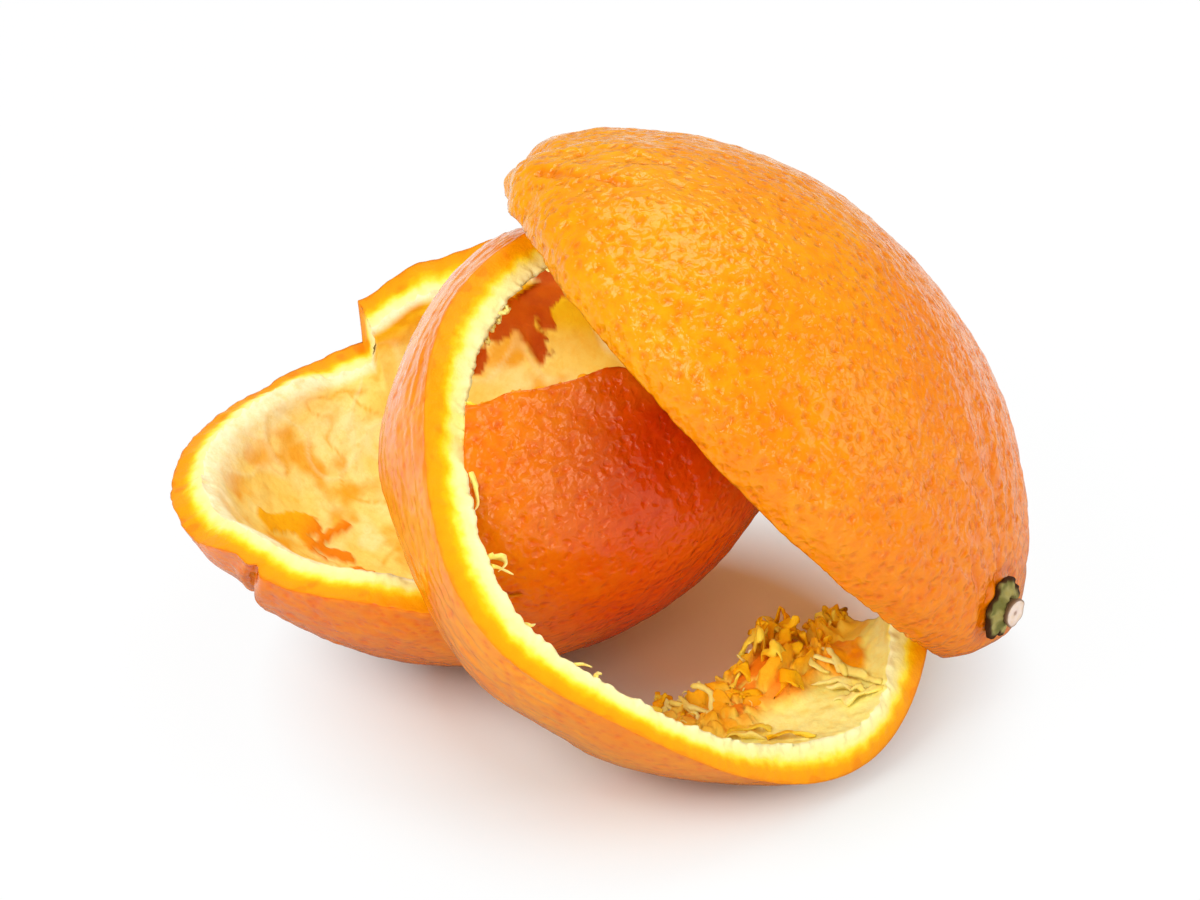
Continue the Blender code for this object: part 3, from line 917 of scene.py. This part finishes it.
def strip_peel(materials):
    def shares(a, b):
        """Place along the strip and across it, 0 to 1."""
        return (a + 1) / 2, (b + 1) / 2

    def place(a, b):
        return ring_place(*shares(a, b))

    def relief(p, a, b):
        t, across = shares(a, b)
        track = xyz(t * RING_LENGTH / 6.0, across * RING_SKIN_WIDTH, 0)
        standing = window(t, 0.40, 0.55, 0.95, 1.1)
        lift = pores(p, 0.17)[0]
        flat = xyz(t * RING_LENGTH, across * RING_SKIN_WIDTH / 1.5, 0)
        dot, _, number = cells(flat, 2.2, 113)
        dots = hump(dot, 0.45) * smooth(1.6 * number)
        tint = mixed(rgb(237, 150, 18), rgb(232, 130, 3), patchy(p, 9.0, 93))
        # Dots a deeper orange where the skin dips: partly the oil glands' own colour, partly
        # painted shade in the dips.
        tint = mixed(tint, rgb(222, 100, 0), 0.5 * dots)
        lift = (0.25 + 0.35 * standing) * lift - 0.12 * dots
        lift = lift + 0.10 * standing * swell(track, 1.0, 91)
        return lift, tint, np.full(len(p), 0.12)

    def lining(p, a, b):
        t, across = shares(a, b)
        wavy = 0.12 * swell(p, 3.0, 95)
        mound = window(t, 0.05, 0.10, 0.19, 0.33) * smooth((across - 0.44 + wavy) / 0.25)
        near, next_near, number = cells(p + 0.8 * swell(p, 1.5, 96)[..., None], 2.6, 97)
        seam = smooth(1 - (next_near - near) / 0.45)
        pale = pith_tint(p, rgb(255, 249, 158), rgb(255, 242, 116), 0.25, rgb(255, 222, 64))
        gold = pith_tint(p, rgb(255, 230, 110), rgb(255, 206, 56), 0.4, rgb(252, 182, 16))
        pulp = mixed(rgb(240, 122, 0), rgb(255, 178, 8), smooth(2.2 * number - 0.3))
        pulp = mixed(pulp, rgb(255, 224, 96), seam * patchy(p, 3.0, 94, 0.7))
        # Painted shadow: a dark orange-brown line along the inside's near edge towards the far end,
        # where the cut edge meets the far wall.
        painted_shadow_line = smooth((t - 0.70) / 0.06) * smooth((0.4 - across) / 0.2)
        far = smooth((across - 0.45 + wavy) / 0.16)
        tint = mixed(pale, gold, far * smooth((0.42 - t) / 0.1))
        tint = mixed(tint, rgb(206, 104, 6), painted_shadow_line)
        off_patch = np.hypot((t - 0.074) * RING_LENGTH, (across - 0.50) * RING_INSIDE_WIDTH) / 3.9
        patch = smooth((1.25 - off_patch - 0.35 * swell(p, 2.0, 99)) / 0.3)
        amber = mixed(rgb(255, 172, 6), rgb(246, 146, 0), patchy(p, 2.0, 90))
        tint = mixed(tint, amber, patch)
        raised = mound * (0.9 + 2.0 * number * (1 - seam) + 1.2 * np.abs(swell(p, 2.6, 98)))
        crust = window(t, -0.03, -0.01, 0.035, 0.06)
        crust = crust * smooth((across - 0.72 + 0.1 * swell(p, 1.5, 94)) / 0.2)
        crumbs = 0.9 * swell(p, 0.9, 91)
        raised = raised + crust * (2.0 + 0.9 * swell(p, 1.6, 92) + crumbs)
        thickness = along(RING_THICKNESS, t) + ragged(p, 0.32) + raised + 0.7 * patch
        # Painted highlight: lighter gold on the higher crumbs of the crust.
        gilt = mixed(rgb(255, 176, 12), rgb(255, 216, 70), smooth(0.5 + crumbs * 8 / 9))
        return thickness, mixed(mixed(tint, pulp, 0.9 * mound), gilt, crust)

    def slant(p, a, b):
        t, across = shares(a, b)
        inwards = unit(ring_place(t, across + 1e-3) - ring_place(t, across - 1e-3))
        slide = (0.5 + 2.0 * smooth((t - 0.74) / 0.16)) * smooth((t - 0.30) / 0.15)
        slide = slide * np.clip(1 - across / 0.55, 0, 1) ** 2
        return inwards * slide[..., None], 0 * p

    def bands(a, b):
        return max(RING_THICKNESS) / along(RING_THICKNESS, shares(a, b)[0])

    forms = {"relief": relief, "lining": lining, "slant": slant, "bands": bands}
    return rind("strip_peel", RING_GRID, place, RING_CENTRE, forms, materials, 0)


# ---------------------------------------------------------------- stem's end


def stem_axes():
    """The skin's point under the stem, two directions in the skin there, and one out of it."""
    theta, turn = (math.radians(a) for a in STEM_PLACE)
    reach = theta / (math.pi / 2 + math.asin(DOME_EQUATOR / DOME_SKIRT))
    a, b = np.array(reach), np.array(turn)
    point = dome_place(a, b)
    out = normals_of(dome_place, a, b, point - DOME_CENTRE)
    across = unit(np.cross([0.0, 0.0, 1.0], out))
    return point, across, np.cross(out, across), out


def turned_faces(rings, turns):
    """Quads between rings of points, closed round, with the first and last ring filled."""
    index = np.arange(rings * turns).reshape(rings, turns)
    after = np.roll(index, -1, axis=1)
    quads = np.stack([index[:-1], after[:-1], after[1:], index[1:]], -1).reshape(-1, 4).tolist()
    return quads + [index[0, ::-1].tolist(), index[-1].tolist()]


def turned_mesh(name, axes, rings, tint, material):
    """A mesh of rings of points that are given from a point, in three directions."""
    point, across, along_skin, out = axes
    p = point + across * rings[..., :1] + along_skin * rings[..., 1:2] + out * rings[..., 2:]
    faces = turned_faces(*rings.shape[:2])
    return new_mesh(name, p.reshape(-1, 3), faces, [material], tint.reshape(-1, 3))


def calyx(material):
    """A lobed, wrinkled disc, thin at its tips and with a low collar round the stem."""
    under_rings = 6
    turn = np.linspace(0, 2 * math.pi, 110, endpoint=False)
    ring = xyz(3 * np.cos(turn), 3 * np.sin(turn), 0)
    lobe = np.abs(np.cos(2.5 * turn + 0.8 * swell(ring, 2.5, 101))) ** 1.2
    edge = CALYX_RADIUS * (0.84 + 0.16 * lobe + 0.16 * swell(ring, 1.1, 103))
    reach = np.concatenate([np.linspace(0.34, 1.0, 14), np.linspace(0.985, 0.4, under_rings)])
    reach = reach[:, None]
    under = (np.arange(len(reach)) >= len(reach) - under_rings)[:, None]
    radius = reach * edge
    x, y = radius * np.cos(turn), radius * np.sin(turn)
    flat = xyz(x, y, 0)
    wrinkle = 0.16 * swell(flat, 0.9, 105) + 0.10 * np.cos(turn * 15 + 2 * reach) * reach
    height = 0.95 * (1 - 0.55 * reach**2) + 0.45 * hump(radius - 1.85, 0.4) + wrinkle
    height = np.where(under, -0.15, height)
    green = mixed(rgb(160, 148, 88), rgb(112, 108, 54), patchy(flat, 1.6, 107, gain=1.5))
    brown = smooth((reach - 0.84 + 0.16 * swell(flat, 1.3, 109)) / 0.14)
    # Brown tips are the dried calyx's own colour; the underside all dark brown is painted shade
    # under the calyx.
    tint = mixed(green, rgb(60, 30, 10), np.where(under, 1.0, brown))
    return turned_mesh("calyx_lobes", stem_axes(), xyz(x, y, height), tint, material)


# Outline of the stem's scar, from its foot to the middle: radius, height and colour.
SCAR = (
    (1.50, -0.2, (96, 82, 46)), (1.42, 0.9, (104, 88, 50)), (1.50, 1.5, (92, 70, 42)),
    (1.74, 1.95, (104, 76, 52)), (1.76, 2.15, (116, 88, 66)), (1.62, 2.28, (150, 122, 104)),
    (1.48, 2.22, (222, 198, 186)), (1.0, 2.16, (232, 210, 198)), (0.42, 2.18, (226, 202, 190)),
    (0.24, 2.20, (188, 160, 148)), (0.10, 2.10, (170, 140, 128)),
)


def stem_scar(material):
    """The stub's leaning side and its pale round scar with a brown rim."""
    point, _, along_skin, out = stem_axes()
    lean = math.radians(STUB_LEAN)
    out = unit(out * math.cos(lean) + np.array([0.0, -1.0, 0.0]) * math.sin(lean))
    across = unit(np.cross(along_skin, out))
    turn = np.linspace(0, 2 * math.pi, 48, endpoint=False)
    radius, height = (np.array([row[k] for row in SCAR])[:, None] for k in (0, 1))
    colour = np.array([rgb(*shade) for _, _, shade in SCAR])[:, None]
    rings = xyz(radius * np.cos(turn), radius * np.sin(turn), height)
    rings = rings * (1 + 0.06 * swell(rings, 0.8, 111)[..., None] * [1, 1, 0.5])
    tint = colour * (1 + 0.12 * cloud(rings, 0.6, 113))[..., None]
    axes = (point, across, np.cross(out, across), out)
    return turned_mesh("stem_scar", axes, rings, tint, material)


# ---------------------------------------------------------------- pulp, pith and fibres


def inside_of(place, a, b, middle, thickness):
    """Points of a rind's inside and the directions off it."""
    base = place(a, b)
    normal = normals_of(place, a, b, base - middle)
    return base - normal * thickness, -normal


def strip_inside(t, across):
    return inside_of(ring_place, t, across, RING_CENTRE, along(RING_THICKNESS, t)[..., None])


def dome_inside(reach, angle):
    return inside_of(dome_place, reach, np.radians(angle), dome_middle(), DOME_THICKNESS)


# Half widths along a bit, as shares of its widest.
FLAKE = (0.5, 0.9, 1.0, 0.9, 0.8, 0.45)
SHEET = (0.75, 1.0, 0.95, 1.0, 0.8, 0.35)
SPIKE = (1.0, 0.85, 0.6, 0.4, 0.22, 0.05)
FIBRE = (0.6, 1.0, 1.0, 0.95, 0.7, 0.2)

# Tones of bits, from their foot to their tip.
AMBER = ((255, 162, 0), (255, 198, 24))
GOLD = ((255, 196, 24), (255, 224, 84))
SUNNY = ((255, 216, 84), (255, 238, 144))
PALE = ((255, 230, 112), (255, 243, 164))

# Flakes and fibres strewn on the strip's inside: how many, the lowest and highest t and across of
# their feet, ranges of length, width and lift in mm, their tones and thickness.
FLAKE_LITTER = (
    (15, (0.075, 0.66), (0.2, 1.05), (1.6, 3.6), (1.5, 3.0), (2.0, 3.6), (AMBER, AMBER, GOLD), 0.5),
    (10, (0.08, 0.92), (0.14, 1.06), (1.5, 3.0), (1.3, 2.2), (3.0, 5.0), (AMBER, GOLD), 0.5),
    (22, (0.19, 0.95), (0.32, 1.10), (1.2, 3.0), (0.7, 1.7), (0.6, 2.0), (GOLD, AMBER, PALE), 0.4),
    (16, (0.86, 0.0), (0.905, 0.05), (0.7, 1.5), (0.6, 1.2), (0.3, 0.9), (PALE,), 0.5),
    (26, (-0.008, 0.82), (0.05, 1.04), (0.8, 1.8), (0.8, 1.6), (1.8, 3.0), (AMBER, GOLD), 0.6),
)
FIBRE_LITTER = (
    26, (0.17, 0.72), (0.33, 1.05), (1.6, 4.2), (0.3, 0.7), (0.5, 2.0), (PALE, GOLD), 0.35,
)

# Bits laid one by one on the strip's inside: foot and tip in t and across, lifts along the way and
# width in mm. Sheets have their tone and seed as well.
SHEETS = (
    ((0.236, 0.64), (0.205, 0.40), (0.3, 0.9, 0.8, 0.2), 2.6, GOLD, 35),
    ((0.228, 0.30), (0.20, 0.08), (0.2, 0.7, 0.7, 0.2), 1.8, GOLD, 37),
    ((0.250, 0.52), (0.222, 0.34), (0.2, 0.8, 0.7, 0.2), 1.8, SUNNY, 38),
)
LONG_FIBRES = (
    ((0.088, 0.02), (0.114, 0.80), (0.2, 1.0, 1.5, 2.2), 1.2),
    ((0.096, 0.00), (0.122, 0.46), (0.2, 0.9, 1.2, 0.8), 1.3),
    ((0.100, 0.32), (0.084, 0.62), (0.9, 1.5, 2.0, 2.2), 0.9),
    ((0.106, 0.20), (0.128, 0.54), (0.6, 1.3, 1.2, 0.5), 1.0),
    ((0.100, 0.06), (0.138, 0.30), (0.2, 0.7, 0.8, 0.2), 1.2),
    ((0.110, 0.48), (0.124, 0.86), (0.9, 1.7, 2.2, 2.6), 0.9),
    ((0.207, 1.02), (0.220, 0.72), (2.8, 2.4, 1.6, 0.4), 1.1),
    ((0.236, 1.02), (0.226, 0.70), (2.2, 2.0, 1.4, 0.4), 1.0),
    ((0.255, 1.03), (0.240, 0.74), (1.8, 1.8, 1.2, 0.3), 0.9),
)
EDGE_FIBRES = (
    ((0.143, 1.0), (0.147, 1.03), (0.2, 1.6, 2.8, 3.8), 0.8),
    ((0.543, 0.03), (0.538, 0.10), (0.2, 0.8, 1.3, 1.7), 0.9),
    ((0.488, 0.03), (0.472, 0.08), (0.2, 0.9, 1.4, 1.6), 1.0),
    ((0.470, 0.03), (0.462, 0.10), (0.2, 0.8, 1.3, 1.8), 0.7),
    ((0.705, 0.02), (0.668, 0.05), (0.2, 1.0, 1.1, 0.3), 1.5),
    ((0.622, 0.02), (0.606, 0.06), (0.2, 1.7, 2.2, 1.2), 2.2),
    ((0.612, 0.02), (0.598, 0.10), (0.2, 1.2, 2.2, 2.9), 0.8),
)
# Fibres at the dome's edge: reach and degrees of their middle, and width.
DOME_FIBRES = ((0.985, 95, 1.0), (0.985, 87.5, 1.2), (0.99, 90, 0.7))


class Bits:
    """Bits of one kind, gathered into one mesh."""

    def __init__(self, name, material, turns=8):
        self.name, self.material, self.turns = name, material, turns
        self.points, self.faces, self.tints, self.count = [], [], [], 0

    def strand(self, inside, start, end, lifts, width, thick, profile, tone, seed,
               rough=0.3, cup=0.2, steps=14, sway=0.0):
        """A flattened tube over the rind from start to end, lifted off it along its way."""
        u = np.linspace(0, 1, steps)
        way = np.outer(1 - u, start) + np.outer(u, end)
        base, off = inside(*way.T)
        centre = base + off * along(lifts, u)[:, None]
        ahead = unit(np.gradient(centre, axis=0))
        side = unit(np.cross(off, ahead))
        track = xyz(3.2 * u, seed * 1.37, 0.5)
        centre = centre + side * (sway * swell(track, 1.0, 121))[:, None]
        up = np.cross(ahead, side)
        half = width / 2 * np.clip(along(profile, u), 0.03, None)
        turn = np.linspace(0, 2 * math.pi, self.turns, endpoint=False)
        c, s = np.cos(turn), np.sin(turn)
        frayed = np.stack([
            half * np.clip(1 + 1.6 * rough * swell(track * [2.5, 1, 1] + k, 1.0, 123 + k), 0.15, 2)
            for k in (0, 1)
        ], 1)
        wide = np.where(c > 0, frayed[:, :1], frayed[:, 1:]) * c
        high = (thick / 2 * along(profile, u) ** 0.5)[:, None] * s + cup * half[:, None] * c * c
        p = centre[:, None] + side[:, None] * wide[..., None] + up[:, None] * high[..., None]
        crumple = np.stack([swell(p + seed, 1.3, 131 + k) for k in range(3)], -1)
        p = p + crumple * min(0.55, 0.28 * width) * rough / 0.3
        p[..., 2] = np.maximum(p[..., 2], BIT_CLEARANCE)
        shade = np.clip(u[:, None] * 0.8 + 0.25 * swell(p, 1.2, 127), 0, 1)
        tint = mixed(rgb(*tone[0]), rgb(*tone[1]), shade)
        self.faces += [[v + self.count for v in f] for f in turned_faces(steps, self.turns)]
        self.points.append(p.reshape(-1, 3))
        self.tints.append(tint.reshape(-1, 3))
        self.count += steps * self.turns

    def litter(self, rng, profile, count, low, high, length, width, lift, tones, thick):
        """Bits strewn over the strip's inside."""
        for _ in range(count):
            start = rng.uniform(low, high)
            turn = math.radians(rng.uniform(0, 360))
            run = rng.uniform(*length) * np.array([math.cos(turn), math.sin(turn)])
            end = start + run / (RING_LENGTH, RING_INSIDE_WIDTH)
            top = rng.uniform(*lift)
            lifts = (0.1, 0.45 * top, 0.8 * top, top * rng.uniform(0.8, 1.15))
            if rng.random() < 0.4:
                lifts = (0.1, 0.8 * top, top, 0.35 * top)
            tone = tones[rng.integers(len(tones))]
            outline = np.array(profile) * rng.uniform(0.6, 1.15, len(profile))
            self.strand(strip_inside, start, end, lifts, rng.uniform(*width), thick, outline, tone,
                        rng.integers(1000), 0.45, rng.uniform(-0.3, 0.5), sway=0.4)

    def done(self):
        points, tints = np.concatenate(self.points), np.concatenate(self.tints)
        return new_mesh(self.name, points, self.faces, [self.material], tints)


def pulp_bits():
    """Flakes of torn pulp, thin sheets and pale fibres on the strip's inside and the torn edges."""
    rng = np.random.default_rng(7)
    wet = bit_material("pulp_wet", 0.45, 1.2, 0.12, 0.2)
    dry = bit_material("pith_dry", 0.6, 0.7, 0.15, 0.2)
    flakes = Bits("pulp_flakes", wet)
    for row in FLAKE_LITTER:
        flakes.litter(rng, FLAKE, *row)
    sheets = Bits("membranes", dry)
    for start, end, lifts, width, tone, seed in SHEETS:
        sheets.strand(strip_inside, start, end, lifts, width, 0.5, SHEET, tone, seed,
                      cup=0.15, steps=16)
    fibres = Bits("pith_fibres", dry, 6)
    for start, end, lifts, width in LONG_FIBRES:
        fibres.strand(strip_inside, start, end, lifts, width, 0.6, FIBRE, PALE, int(1000 * end[1]),
                      0.45, steps=20, sway=1.1)
    fibres.litter(rng, SPIKE, *FIBRE_LITTER)
    for start, end, lifts, width in EDGE_FIBRES:
        fibres.strand(strip_inside, start, end, lifts, width, 0.5, SPIKE, PALE,
                      int(1000 * start[0]), sway=0.5)
    for reach, angle, width in DOME_FIBRES:
        fibres.strand(dome_inside, (reach - 0.02, angle), (reach + 0.02, angle + 1),
                      (0.1, 0.8, 1.5, 2.2), width, 0.4, SPIKE, GOLD, int(angle), cup=0.0)
    return [flakes.done(), sheets.done(), fibres.done()]


# ---------------------------------------------------------------- floor, light and camera

CAMERA_ELEVATION = 30.0
CAMERA_DISTANCE = 420.0
CAMERA_LENS = 105.0
CAMERA_TARGET = np.array([0.15, 2.2, 27.3])

# Middles of the floor's fade and of its painted light, and the distance at which their ramps end.
FLOOR_MIDDLES = ((6.0, -5.0, 0.0), (18.0, 9.0, 0.0))
FLOOR_SPAN = 200.0
FLOOR_SIZE = 4.0  # metres

# The world's light. The camera sees it at 1, and gloss sees it lower by these.
WORLD_LIGHT = 0.62
GLOSS_LOSS = 0.08
CEILING_LOSS = 0.32

# Name, watts, width in metres, and compass angle and height in degrees.
SOFTBOXES = (
    ("back_softbox", 1.7, 0.40, 75, 66),
    ("right_softbox", 0.9, 0.34, -8, 26),
    ("front_softbox", 0.55, 0.22, -100, 36),
    ("low_softbox", 0.55, 0.20, -66, 8),
    ("left_softbox", 2.0, 0.32, -136, 43),
)
SOFTBOX_DISTANCE = 680
SOFTBOX_TARGET = np.array([0.0, 0.0, 25.0])


def background_rays(nodes):
    """Light Path's outputs, and 1 for the rays that see the plain white background."""
    rays = nodes.add("LightPath")
    seen = nodes.maths("ADD", rays["Is Camera Ray"], rays["Is Transmission Ray"], clamp=True)
    return rays, seen


def floor_material():
    """White table: seen by the camera it fades to plain white away from the peel. Near the peel it
    has painted warm bounce light, and its gloss has painted shadow.
    """
    made, nodes, place = new_material("white_table", {
        "Roughness": 0.7, "Specular IOR Level": 0.2,
    })
    away = [nodes.vector("DISTANCE", place, middle)["Value"] for middle in FLOOR_MIDDLES]
    shade, stain_and_painted_light = (nodes.maths("MULTIPLY", far, 1 / FLOOR_SPAN, clamp=True) for far in away)
    fade = nodes.ramp(shade, (0.128, 0.0), (0.24, 0.95))
    # Painted light: warm orange bounce light near the peel, then a cool grey-white that takes the
    # orange bounce back out further off.
    colour = nodes.ramp(
        stain_and_painted_light, (0.08, rgb(255, 226, 194)), (0.14, rgb(230, 238, 236)), (0.30, rgb(238, 246, 246)),
    )
    rays, seen = background_rays(nodes)
    # Painted shadow: glossy rays see the floor darker near the peel.
    painted_gloss_shadow = nodes.times(rays["Is Glossy Ray"], nodes.ramp(stain_and_painted_light, (0.20, 0.65), (0.45, 0.0)))
    colour = nodes.mix(painted_gloss_shadow, colour, (0.0, 0.0, 0.0))
    nodes.feed(nodes.shader.inputs["Base Color"], colour)
    glow = nodes.add("Emission", [("Color", WHITE), ("Strength", 1.0)])[0]
    both = [(0, nodes.times(fade, seen)), (1, nodes.shader.outputs[0]), (2, glow)]
    surface = nodes.tree.nodes["Material Output"].inputs["Surface"]
    nodes.feed(surface, nodes.add("MixShader", both)[0])
    return made


def studio_world():
    """Even white light; gloss sees a pale backdrop low down and a darker ceiling."""
    world = bpy.data.worlds.new("studio")
    bpy.context.scene.world = world
    nodes = Nodes(world)
    background = nodes.tree.nodes["Background"].inputs
    nodes.feed(background["Color"], (1.0, 0.99, 0.98))
    rays, seen = background_rays(nodes)
    height = nodes.add("SeparateXYZ", [("Vector", nodes.add("TexCoord")["Generated"])])["Z"]
    ceiling = nodes.ramp(height, (0.02, 0.0), (0.30, CEILING_LOSS))
    gloss = nodes.times(rays["Is Glossy Ray"], nodes.maths("SUBTRACT", -GLOSS_LOSS, ceiling))
    strength = nodes.plus(gloss, nodes.times(seen, 1 - WORLD_LIGHT))
    nodes.feed(background["Strength"], nodes.plus(strength, WORLD_LIGHT))


def aim(made, place, target):
    """Puts a camera or a light at place, in millimetres of the row frame, looking at target."""
    made.location = Vector(place * MM)
    made.rotation_euler = Vector(target - place).to_track_quat("-Z", "Y").to_euler()
    bpy.context.scene.collection.objects.link(made)


def stage():
    bpy.ops.mesh.primitive_plane_add(size=FLOOR_SIZE, location=(0, 0, 0))
    floor = bpy.context.object
    floor.name = "floor"
    floor.data.materials.append(floor_material())
    scene = bpy.context.scene
    scene.view_settings.view_transform = "Standard"
    studio_world()
    for name, power, size, compass, height in SOFTBOXES:
        light = bpy.data.lights.new(name, "AREA")
        light.energy, light.size = power, size
        away = SOFTBOX_DISTANCE * pointing(compass, height)
        aim(bpy.data.objects.new(name, light), SOFTBOX_TARGET + away, SOFTBOX_TARGET)
    camera_data = bpy.data.cameras.new("camera")
    camera_data.lens = CAMERA_LENS
    camera_data.sensor_width = 36.0
    camera = bpy.data.objects.new("camera", camera_data)
    back = pointing(-90, CAMERA_ELEVATION)
    aim(camera, CAMERA_TARGET + CAMERA_DISTANCE * back, CAMERA_TARGET)
    scene.camera = camera


def main():
    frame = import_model()
    foot = np.array(frame["record"]["mounts"][0]["pos_m"]) / MM
    ORIGIN[:] = foot - np.array([BOWL_CENTRE[0], BOWL_CENTRE[1], 0.0])
    rinds = [skin_material(), cut_material(), pith_material()]
    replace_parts(bowl_peel(rinds), "bowl")
    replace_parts(strip_peel(rinds), "strip")
    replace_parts(dome_peel(rinds), "dome")
    bark = bit_material("calyx_green", 0.8, 0.6, 0.12)
    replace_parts(calyx(bark), "calyx")
    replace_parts(stem_scar(bark), "stem_stub")
    for made in pulp_bits():
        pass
    stage()
    bpy.context.view_layer.update()
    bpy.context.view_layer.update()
    for made in PIECES:
        print(made.name, sum(len(p.vertices) - 2 for p in made.data.polygons), "triangles")


main()
